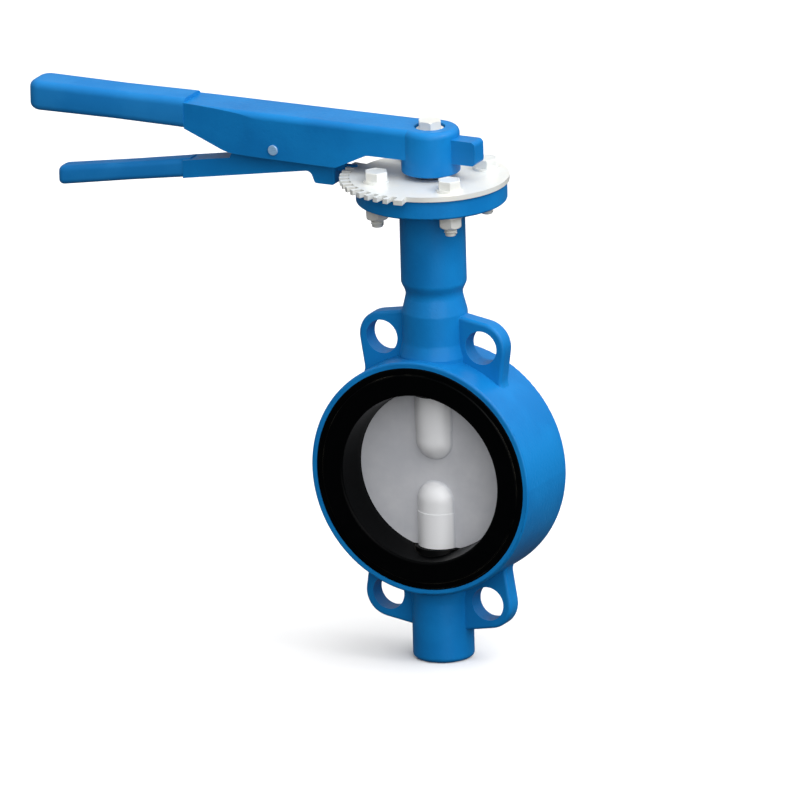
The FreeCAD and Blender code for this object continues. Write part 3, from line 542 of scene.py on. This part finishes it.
@dataclass(frozen=True)
class MachinedPlastic:
    """Plain plastic or fibre turned about Z, in any colour."""

    name: str
    colour: Colour
    fleck: Colour
    fleck_scale: float = 900.0
    pitch: float = 0.3 * MM
    groove_depth: float = 0.01 * MM
    roughness: float = 0.4

    def make(self) -> bpy.types.Material:
        """Builds the material.

        Returns:
            The finished material.
        """
        s = Shader(self.name)
        flecks = s.noise(self.fleck_scale, 4.0, 0.7).clamped(0.45, 0.75)
        grooves = (s.axis("Z") * (2 * math.pi / self.pitch)).sine() * 0.5 + 0.5
        body = s.blend(flecks, self.colour, self.fleck)
        rough = flecks * 0.15 + self.roughness
        return s.finish(Base_Color=body, Roughness=rough,
                        Normal=s.bump(grooves, self.groove_depth))


def dress(name: str, material: bpy.types.Material) -> None:
    """Puts one material on every slot of a CAD node.

    Args:
        name: The node.
        material: Its finish.
    """
    data = frame["nodes"][name].data
    if not data.materials:
        data.materials.append(material)
    for index in range(len(data.materials)):
        data.materials[index] = material


# ---- shaping --------------------------------------------------------------------------

class Form:
    """One mesh that is shaped in edit mode, then given its finish and its body."""

    def __init__(self, name: str) -> None:
        """Takes over the primitive that was just added and enters edit mode.

        Args:
            name: Name of the piece.
        """
        self.object = bpy.context.object
        self.object.name = name
        self.object.data.name = name
        bpy.ops.object.transform_apply(location=True, rotation=True, scale=True)
        bpy.ops.object.mode_set(mode="EDIT")

    @staticmethod
    def clear() -> None:
        """Deselects everything, ready for a new primitive."""
        if bpy.context.object and bpy.context.object.mode != "OBJECT":
            bpy.ops.object.mode_set(mode="OBJECT")
        bpy.ops.object.select_all(action="DESELECT")

    @classmethod
    def block(cls, name: str, low: Vector, high: Vector) -> "Form":
        """Starts from a block between two corners.

        Args:
            name: Name of the piece.
            low: Lowest corner.
            high: Highest corner.

        Returns:
            The form, in edit mode.
        """
        cls.clear()
        bpy.ops.mesh.primitive_cube_add(size=1.0, location=(low + high) / 2, scale=high - low)
        return cls(name)

    @classmethod
    def bar(cls, name: str, sides: int, radius: float, low: float, high: float,
            turn: float = 0.0) -> "Form":
        """Starts from an upright bar about Z.

        Args:
            name: Name of the piece.
            sides: Number of sides.
            radius: Corner radius.
            low: Lower end.
            high: Upper end.
            turn: Turn about Z in radians.

        Returns:
            The form, in edit mode.
        """
        cls.clear()
        bpy.ops.mesh.primitive_cylinder_add(vertices=sides, radius=radius, depth=high - low,
                                            location=(0.0, 0.0, (low + high) / 2),
                                            rotation=(0.0, 0.0, turn))
        return cls(name)

    def pick_faces(self, test: Callable[[Vector, Vector], bool]) -> None:
        """Selects faces.

        Args:
            test: Test on a face's centre and normal.
        """
        mesh = self._cleared("FACE")
        for face in mesh.faces:
            face.select_set(test(face.calc_center_median(), face.normal))
        bmesh.update_edit_mesh(self.object.data)

    def pick_edges(self, test: Callable[[Vector, Vector], bool]) -> None:
        """Selects edges.

        Args:
            test: Test on an edge's two ends.
        """
        mesh = self._cleared("EDGE")
        for edge in mesh.edges:
            edge.select_set(test(edge.verts[0].co, edge.verts[1].co))
        bmesh.update_edit_mesh(self.object.data)

    def _cleared(self, mode: str) -> bmesh.types.BMesh:
        """Deselects the mesh and sets the selection mode.

        Args:
            mode: VERT, EDGE or FACE.

        Returns:
            The mesh that is being edited.
        """
        bpy.ops.mesh.select_mode(type=mode)
        bpy.ops.mesh.select_all(action="DESELECT")
        return bmesh.from_edit_mesh(self.object.data)

    def cut(self, place: Vector, normal: Vector) -> None:
        """Adds a loop of edges where a plane crosses the form."""
        bpy.ops.mesh.select_all(action="SELECT")
        bpy.ops.mesh.bisect(plane_co=place, plane_no=normal)

    def bevel(self, width: float, segments: int) -> None:
        """Rounds the selected edges."""
        bpy.ops.mesh.bevel(offset=width, segments=segments, profile=0.5, affect="EDGES")

    def scale(self, factors: tuple[float, float, float], centre: Vector) -> None:
        """Scales the selection about a point."""
        bpy.ops.transform.resize(value=factors, center_override=centre)

    def turn(self, angle: float, centre: Vector) -> None:
        """Turns the selection in the XZ plane, X towards Z for a positive angle."""
        bpy.ops.transform.rotate(value=angle, orient_axis="Y", center_override=centre)

    def finish(self, material: bpy.types.Material, angle: float = 35.0) -> bpy.types.Object:
        """Leaves edit mode, shades and dresses the piece.

        Args:
            material: Its finish.
            angle: Edges sharper than this stay sharp, in degrees.

        Returns:
            The object.
        """
        bpy.ops.mesh.select_all(action="SELECT")
        bpy.ops.mesh.remove_doubles(threshold=WELD / 2)
        bpy.ops.mesh.normals_make_consistent(inside=False)
        bpy.ops.object.mode_set(mode="OBJECT")
        bpy.ops.object.shade_smooth_by_angle(angle=math.radians(angle))
        self.object.data.materials.clear()
        self.object.data.materials.append(material)
        return self.object


# ---- grips ----------------------------------------------------------------------------

@dataclass
class GripSleeve:
    """Thick dipped sleeve with soft edges, a lip at its mouth and a full round end."""

    name: str
    node: str
    body: str
    edge_round: float
    end_round: float
    wall: float
    slope: float = 0.0
    mouth_depth: float = 3.0 * MM
    waist_at: float = 0.45
    waist: float = 0.965
    lip_length: float = 3.0 * MM
    segments: int = 6
    sharp: float = 50.0
    side_slack: float = 1.0 * MM
    outer_share: float = 0.45

    def level_box(self) -> tuple[Vector, Vector]:
        """Corners of the sleeve before it is tilted about its mouth.

        Returns:
            Lowest and highest corner.
        """
        low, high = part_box(self.node)
        drop = (high.x - low.x) * math.tan(math.radians(self.slope))
        return Vector((low.x, low.y, low.z + drop)), high

    def build(self, material: bpy.types.Material) -> bpy.types.Object:
        """Models the sleeve.

        Args:
            material: Its finish.

        Returns:
            The piece.
        """
        low, high = self.level_box()
        form = Form.block(self.name, low, high)
        waist_x = high.x - (high.x - low.x) * self.waist_at
        for x in (waist_x, high.x - self.lip_length):
            form.cut(Vector((x, 0.0, 0.0)), Vector((1.0, 0.0, 0.0)))
        middle = (low + high) / 2
        form.pick_edges(lambda a, b: abs(a.x - waist_x) < NEAR and abs(b.x - waist_x) < NEAR)
        form.scale((1.0, self.waist, self.waist), Vector((waist_x, middle.y, middle.z)))
        form.pick_edges(lambda a, b: abs(a.x - low.x) < NEAR and abs(b.x - low.x) < NEAR
                        and abs(a.z - b.z) > NEAR)
        form.bevel(self.end_round, self.segments)
        form.pick_faces(lambda c, n: n.x > FACING)
        bpy.ops.mesh.inset(thickness=self.wall, use_even_offset=True)
        bpy.ops.mesh.extrude_region_move(
            TRANSFORM_OT_translate={"value": (-self.mouth_depth, 0.0, 0.0)})
        form.pick_edges(self._outside_edge(low, high))
        form.bevel(self.edge_round, self.segments)
        self._slant(form, high)
        piece = form.finish(material, self.sharp)
        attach(piece, self.body)
        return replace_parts(piece, self.node)

    def _outside_edge(self, low: Vector, high: Vector) -> Callable[[Vector, Vector], bool]:
        """Test for the sharp edges round the top and the bottom faces.

        Args:
            low: Lowest corner of the sleeve.
            high: Highest corner.

        Returns:
            The test on an edge's two ends.
        """
        middle = (low.z + high.z) / 2

        def is_long(a: Vector, b: Vector) -> bool:
            """Tests one edge.

            Args:
                a: One end.
                b: The other end.

            Returns:
                True for an edge that is to be rounded.
            """
            side = all(abs(abs(end.y) - high.y) < self.side_slack for end in (a, b))
            tip = all(end.x < low.x + self.end_round + NEAR for end in (a, b))
            level = (a.z - middle) * (b.z - middle) > 0
            reach = (high.z - low.z) * self.outer_share
            outer = min(abs(a.z - middle), abs(b.z - middle)) > reach
            runs = abs(a.x - b.x) > NEAR or tip
            return level and outer and runs and (side or tip)

        return is_long

    def _slant(self, form: Form, high: Vector) -> None:
        """Slants the sleeve down from its mouth, with its ends left upright.

        A stretch between two turns slants a form without changing its length.

        Args:
            form: The sleeve, in edit mode.
            high: Its highest corner.
        """
        if not self.slope:
            return
        rise = math.tan(math.radians(self.slope))
        stretch = math.hypot(1.0, rise / 2) + rise / 2
        bpy.ops.mesh.select_all(action="SELECT")
        form.turn(-math.atan2(2.0, rise) / 2, high)
        form.scale((stretch, 1.0, 1.0 / stretch), high)
        form.turn(math.atan2(2.0, -rise) / 2, high)


# ---- bolts ----------------------------------------------------------------------------

@dataclass
class PlateBolts:
    """Four M8 bolts with cut threads, over the CAD's plain ones."""

    node: str = "plate_bolts"
    body: str = "housing"
    across_flats: float = 13.0 * MM
    head: float = 5.3 * MM
    crest: float = 4.0 * MM
    root: float = 3.35 * MM
    pitch: float = 1.25 * MM
    turns: int = 11
    tip: float = 0.9 * MM
    steps: int = 24
    chamfer: float = 0.55 * MM
    dish: float = 0.2 * MM
    flat: float = 0.16
    sharp: float = 30.0
    thread_sharp: float = 25.0

    def build(self, material: bpy.types.Material) -> list[bpy.types.Object]:
        """Models one bolt and copies it to the four places.

        Args:
            material: Its finish.

        Returns:
            The four pieces.
        """
        low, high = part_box(self.node)
        corner = self.across_flats / 2 / math.cos(math.pi / 6)
        first = self._joined([self._head(high.z, corner, material),
                              self._core(low.z, material),
                              self._shank(low.z, high.z, material),
                              self._thread(low.z, material)])
        reach_x, reach_y = high.x - corner, high.y - self.across_flats / 2
        pieces = []
        for x in (-reach_x, reach_x):
            for y in (-reach_y, reach_y):
                Form.clear()
                first.select_set(True)
                bpy.context.view_layer.objects.active = first
                bpy.ops.object.duplicate(linked=False)
                piece = bpy.context.object
                piece.location = (x, y, 0.0)
                bpy.ops.object.transform_apply(location=True, rotation=True, scale=True)
                piece.name = f"plate_bolt_{len(pieces) + 1}"
                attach(piece, self.body)
                pieces.append(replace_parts(piece, self.node))
        bpy.data.objects.remove(first, do_unlink=True)
        return pieces

    def _head(self, top: float, corner: float, material: bpy.types.Material) -> bpy.types.Object:
        """Models the hexagon head, with a chamfered, slightly dished top.

        Args:
            top: Height of its top.
            corner: Radius over its corners.
            material: Its finish.

        Returns:
            The head.
        """
        form = Form.bar("bolt_head", 6, corner, top - self.head, top, math.pi / 6)
        form.pick_edges(lambda a, b: min(a.z, b.z) > top - NEAR)
        form.bevel(self.chamfer, 2)
        form.pick_faces(lambda c, n: n.z > FACING)
        bpy.ops.mesh.inset(thickness=self.chamfer)
        bpy.ops.mesh.extrude_region_move(TRANSFORM_OT_translate={"value": (0.0, 0.0, -self.dish)})
        return form.finish(material, self.sharp)

    def _thread_end(self, low: float) -> float:
        """Height where the thread stops."""
        return low + self.tip + self.turns * self.pitch

    def _core(self, low: float, material: bpy.types.Material) -> bpy.types.Object:
        """Models the root of the thread, with a pointed-off tip.

        Args:
            low: Height of the tip.
            material: Its finish.

        Returns:
            The core.
        """
        form = Form.bar("bolt_core", self.steps, self.root, low, self._thread_end(low))
        form.pick_edges(lambda a, b: max(a.z, b.z) < low + NEAR)
        form.bevel(self.chamfer, 2)
        return form.finish(material, self.sharp)

    def _shank(self, low: float, top: float, material: bpy.types.Material) -> bpy.types.Object:
        """Models the plain part of the bolt, from the thread to the head.

        Args:
            low: Height of the bolt's tip.
            top: Height of the bolt's top.
            material: Its finish.

        Returns:
            The shank.
        """
        start = self._thread_end(low) - self.pitch / 2
        form = Form.bar("bolt_shank", self.steps, self.crest, start, top - self.head)
        form.pick_edges(lambda a, b: max(a.z, b.z) < start + NEAR)
        form.bevel(self.chamfer, 2)
        return form.finish(material, self.sharp)

    def _thread(self, low: float, material: bpy.types.Material) -> bpy.types.Object:
        """Sweeps the helical thread from one tooth's profile.

        Args:
            low: Height of the bolt's tip.
            material: Its finish.

        Returns:
            The thread.
        """
        Form.clear()
        bpy.ops.mesh.primitive_plane_add(size=1.0 * MM, location=(0.0, 0.0, 0.0))
        form = Form("bolt_thread")
        bpy.ops.mesh.select_mode(type="VERT")
        bpy.ops.mesh.select_all(action="SELECT")
        bpy.ops.mesh.merge(type="CENTER")
        start = low + self.tip + self.pitch / 2
        half = self.flat / 2
        profile = [(self.root, -0.5), (self.crest, -half), (self.crest, half), (self.root, 0.5)]
        points = [Vector((r, 0.0, start + share * self.pitch)) for r, share in profile]
        bpy.ops.transform.translate(value=points[0])
        for before, after in zip(points, points[1:]):
            bpy.ops.mesh.extrude_region_move(TRANSFORM_OT_translate={"value": after - before})
        bpy.ops.object.mode_set(mode="OBJECT")
        sweep = form.object.modifiers.new("thread", "SCREW")
        sweep.axis = "Z"
        sweep.screw_offset = self.pitch
        sweep.iterations = self.turns - 1
        sweep.steps = self.steps
        sweep.render_steps = self.steps
        sweep.use_merge_vertices = True
        sweep.merge_threshold = WELD
        bpy.ops.object.modifier_apply(modifier=sweep.name)
        bpy.ops.object.mode_set(mode="EDIT")
        bpy.ops.mesh.select_all(action="SELECT")
        bpy.ops.mesh.remove_doubles(threshold=WELD)
        bpy.ops.mesh.select_mode(type="EDGE")
        bpy.ops.mesh.select_all(action="DESELECT")
        bpy.ops.mesh.select_non_manifold()
        bpy.ops.mesh.fill_holes(sides=0)
        return form.finish(material, self.thread_sharp)

    @staticmethod
    def _joined(parts: list[bpy.types.Object]) -> bpy.types.Object:
        """Joins parts into the first one.

        Args:
            parts: The parts.

        Returns:
            The first part, now with all the others.
        """
        Form.clear()
        for part in parts:
            part.select_set(True)
        bpy.context.view_layer.objects.active = parts[0]
        bpy.ops.object.join()
        return parts[0]


# ---- trigger spring -------------------------------------------------------------------

@dataclass
class ReturnSpring:
    """Wound spring under the channel's roof."""

    node: str = "trigger_spring"
    body: str = "turning_group"
    joint: str = "trigger_squeeze"
    wire: float = 0.6 * MM
    turns: int = 7
    sides: int = 10
    steps: int = 24
    clearance: float = 0.1 * MM
    sharp: float = 60.0

    def build(self, material: bpy.types.Material) -> bpy.types.Object:
        """Winds the spring and works out its length with the trigger closed.

        Args:
            material: Its finish.

        Returns:
            The piece.
        """
        low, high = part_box(self.node)
        radius = (high.y - low.y) / 2 - self.wire
        travel = high.z - low.z - 2 * self.wire
        Form.clear()
        bpy.ops.mesh.primitive_circle_add(vertices=self.sides, radius=self.wire,
                                          location=(radius, 0.0, low.z + self.wire),
                                          rotation=(math.pi / 2, 0.0, 0.0))
        form = Form("return_spring")
        bpy.ops.object.mode_set(mode="OBJECT")
        wind = form.object.modifiers.new("coil", "SCREW")
        wind.axis = "Z"
        wind.screw_offset = travel / self.turns
        wind.iterations = self.turns
        wind.steps = self.steps
        wind.render_steps = self.steps
        bpy.ops.object.modifier_apply(modifier=wind.name)
        bpy.ops.object.mode_set(mode="EDIT")
        bpy.ops.mesh.select_mode(type="EDGE")
        bpy.ops.mesh.select_all(action="DESELECT")
        bpy.ops.mesh.select_non_manifold()
        bpy.ops.mesh.fill_holes(sides=0)
        piece = form.finish(material, self.sharp)
        piece.location = ((low.x + high.x) / 2, (low.y + high.y) / 2, 0.0)
        bpy.ops.object.transform_apply(location=True, rotation=True, scale=True)
        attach(piece, self.body)
        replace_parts(piece, self.node)
        top = ((low.x + high.x) / 2, 0.0, high.z)
        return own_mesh(piece, self.joint, axis=(0.0, 0.0, 1.0), anchor=top,
                         keep=self.pressed_share(low, high))

    def pressed_share(self, low: Vector, high: Vector) -> float:
        """Length with the trigger closed, as a share of the length at rest.

        Args:
            low: Lowest corner of the spring.
            high: Highest corner.

        Returns:
            The share.
        """
        joints = frame["record"]["behaviour"]["joints"]
        joint = next(one for one in joints if one["name"] == self.joint)
        turn = math.radians(joint["range_deg"][1])
        out = joint["pos_m"][0] - low.x
        drop = joint["pos_m"][2] - low.z
        rise = out * math.sin(turn) + drop * (1.0 - math.cos(turn)) + self.clearance
        return 1.0 - rise / (high.z - low.z)


# ---- studio ---------------------------------------------------------------------------

@dataclass(frozen=True)
class Sun:
    """Soft distant light, placed by its share right of, above and in front of the valve."""

    name: str
    right: float
    above: float
    near: float
    spread: float
    power: float


@dataclass
class Studio:
    """Pale floor, soft lights and the camera. Angles are in degrees."""

    azimuth: float = 27.0
    elevation: float = 16.8
    roll: float = 1.55
    frame_width: float = 0.48835
    left_of_middle: float = -0.0215
    above_middle: float = 0.0388
    distance: float = 3.0
    far_clip: float = 50.0
    suns: tuple[Sun, ...] = (
        Sun("key", right=0.62, above=1.0, near=0.25, spread=80.0, power=1.9),
        Sun("front", right=0.25, above=0.0, near=1.0, spread=60.0, power=1.3),
        Sun("sky", right=0.0, above=1.0, near=0.2, spread=90.0, power=0.35))
    glint_from: tuple[float, float, float] = (1.1, 1.2, 1.0)
    glint_aim: tuple[float, float, float] = (-0.03, 0.0, 0.06)
    glint_size: float = 0.6
    glint_power: float = 8.0
    sky_power: float = 0.65
    ground_power: float = 0.08
    dusk_from: float = -0.25
    dusk_to: float = 0.6
    floor_half: float = 12.0
    floor_gap: float = 0.1 * MM
    floor_colour: Colour = (0.93, 0.93, 0.93)
    floor_shade: Colour = (0.9, 0.9, 0.9)
    floor_scale: float = 3.0
    floor_share: float = 0.05
    floor_roughness: float = 0.9

    def axes(self) -> tuple[Vector, Vector, Vector]:
        """Works out the unrolled view.

        Returns:
            Its right, up and forward directions.
        """
        a, e = math.radians(self.azimuth), math.radians(self.elevation)
        right = Vector((math.cos(a), math.sin(a), 0.0))
        forward = Vector((-math.sin(a) * math.cos(e), math.cos(a) * math.cos(e), -math.sin(e)))
        return right, right.cross(forward), forward

    def camera(self) -> None:
        """Adds the camera."""
        right, up, forward = self.axes()
        r = math.radians(self.roll)
        across = right * math.cos(r) - up * math.sin(r)
        upwards = right * math.sin(r) + up * math.cos(r)
        aim = across * self.left_of_middle + upwards * self.above_middle
        data = bpy.data.cameras.new("camera")
        data.type = "ORTHO"
        data.ortho_scale = self.frame_width
        data.clip_end = self.far_clip
        camera = bpy.data.objects.new("camera", data)
        bpy.context.scene.collection.objects.link(camera)
        turn = Matrix((across, upwards, -forward)).transposed().to_4x4()
        camera.matrix_world = Matrix.Translation(aim - forward * self.distance) @ turn
        bpy.context.scene.camera = camera

    def glint(self, place: Vector) -> None:
        """Adds a square area light that draws highlights.

        Args:
            place: Where it hangs.
        """
        data = bpy.data.lights.new("glint", "AREA")
        data.shape = "SQUARE"
        data.size = self.glint_size
        data.energy = self.glint_power
        light = bpy.data.objects.new("glint", data)
        bpy.context.scene.collection.objects.link(light)
        turn = (Vector(self.glint_aim) - place).to_track_quat("-Z", "Y")
        light.matrix_world = Matrix.Translation(place) @ turn.to_matrix().to_4x4()

    def sun(self, sun: Sun, source: Vector) -> None:
        """Adds one distant light.

        Args:
            sun: Its name, width and power.
            source: Direction from the valve to the light.
        """
        data = bpy.data.lights.new(sun.name, "SUN")
        data.energy = sun.power
        data.angle = math.radians(sun.spread)
        light = bpy.data.objects.new(sun.name, data)
        bpy.context.scene.collection.objects.link(light)
        light.matrix_world = source.to_track_quat("Z", "Y").to_matrix().to_4x4()

    def lights(self) -> None:
        """Adds the lights and the world."""
        right, up, forward = self.axes()
        for sun in self.suns:
            self.sun(sun, right * sun.right + Z_AXIS * sun.above - forward * sun.near)
        across, rise, near = self.glint_from
        self.glint(right * across + up * rise - forward * near)
        self.sky()
        bpy.context.scene.view_settings.view_transform = "Standard"

    def sky(self) -> None:
        """Adds a world that is pale above the horizon and dim below it."""
        world = bpy.data.worlds.new("studio")
        world.use_nodes = True
        graph = NodeGraph(world.node_tree)
        ray = graph.node("ShaderNodeTexCoord", output="Generated")
        height = graph.node("ShaderNodeSeparateXYZ", None, {0: ray}, "Z")
        upward = height.clamped(self.dusk_from, self.dusk_to)
        power = upward * (self.sky_power - self.ground_power) + self.ground_power
        glow = graph.node("ShaderNodeBackground", None,
                          {"Color": (1.0, 1.0, 1.0), "Strength": power})
        graph.add("ShaderNodeOutputWorld", None, {"Surface": glow})
        bpy.context.scene.world = world

    def floor(self, height: float) -> None:
        """Adds the floor.

        Args:
            height: Its height.
        """
        bpy.ops.object.select_all(action="DESELECT")
        bpy.ops.mesh.primitive_plane_add(size=2 * self.floor_half, location=(0.0, 0.0, height))
        plane = bpy.context.object
        plane.name = "floor"
        s = Shader("pale_floor")
        share = s.noise(self.floor_scale) * self.floor_share
        tint = s.blend(share, self.floor_colour, self.floor_shade)
        plane.data.materials.append(s.finish(Base_Color=tint, Roughness=self.floor_roughness))
        plane.visible_diffuse = False
        plane.visible_glossy = False

    def build(self) -> None:
        """Sets up the whole studio."""
        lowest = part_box("valve_body")[0].z
        self.camera()
        self.lights()
        self.floor(lowest - self.floor_gap)


def main() -> None:
    """Builds the studio, the finishes and the new pieces."""
    logging.basicConfig(level=logging.INFO, format="%(name)s: %(message)s")
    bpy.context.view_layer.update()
    Studio().build()
    enamel = CastPaint().make()
    vinyl = MouldedSleeve().make()
    rubber = MouldedRubber().make()
    cast = CastSteel().make()
    turned = TurnedSteel().make()
    zinc = BrightZinc().make()
    spring = SpringSteel().make()
    resin = MachinedPlastic("backing_resin", colour=(0.05, 0.02, 0.01),
                            fleck=(0.12, 0.06, 0.03)).make()
    ptfe = MachinedPlastic("white_bush", colour=(0.78, 0.77, 0.73),
                           fleck=(0.66, 0.65, 0.6)).make()
    fibre = MachinedPlastic("gasket_fibre", colour=(0.11, 0.16, 0.12),
                            fleck=(0.2, 0.25, 0.2)).make()
    finishes = {
        "blue_paint": enamel, "blue_grip": vinyl, "black_rubber": rubber, "backing_resin": resin,
        "bush_plastic": ptfe, "gasket_fibre": fibre, "cast_stainless": cast,
        "turned_stainless": turned, "pale_zinc": zinc, "spring_steel": spring}
    for part in frame["record"]["subparts"]:
        dress(part["node"], finishes[part["material_slot"]])
        LOG.info("%s wears %s", part["node"], part["material_slot"])
    pin = TurnedSteel("pin_steel", colour=(0.24, 0.44, 0.68), light=(0.42, 0.60, 0.78),
                      metallic=0.1).make()
    dress("trigger_pin", pin)
    sleeves = [GripSleeve("lever_sleeve", "lever_grip", "turning_group",
                          edge_round=4.6 * MM, end_round=8.0 * MM, wall=3.2 * MM),
               GripSleeve("trigger_sleeve", "trigger_grip", "trigger",
                          edge_round=3.4 * MM, end_round=4.5 * MM, wall=2.6 * MM, slope=9.5)]
    for sleeve in sleeves:
        LOG.info("%s replaces %s", sleeve.build(vinyl).name, sleeve.node)
    coil = ReturnSpring().build(spring)
    LOG.info("%s is pressed by the trigger", coil.name)
    for bolt in PlateBolts().build(zinc):
        LOG.info("%s replaces a plain bolt", bolt.name)


if __name__ == "__main__":
    main()
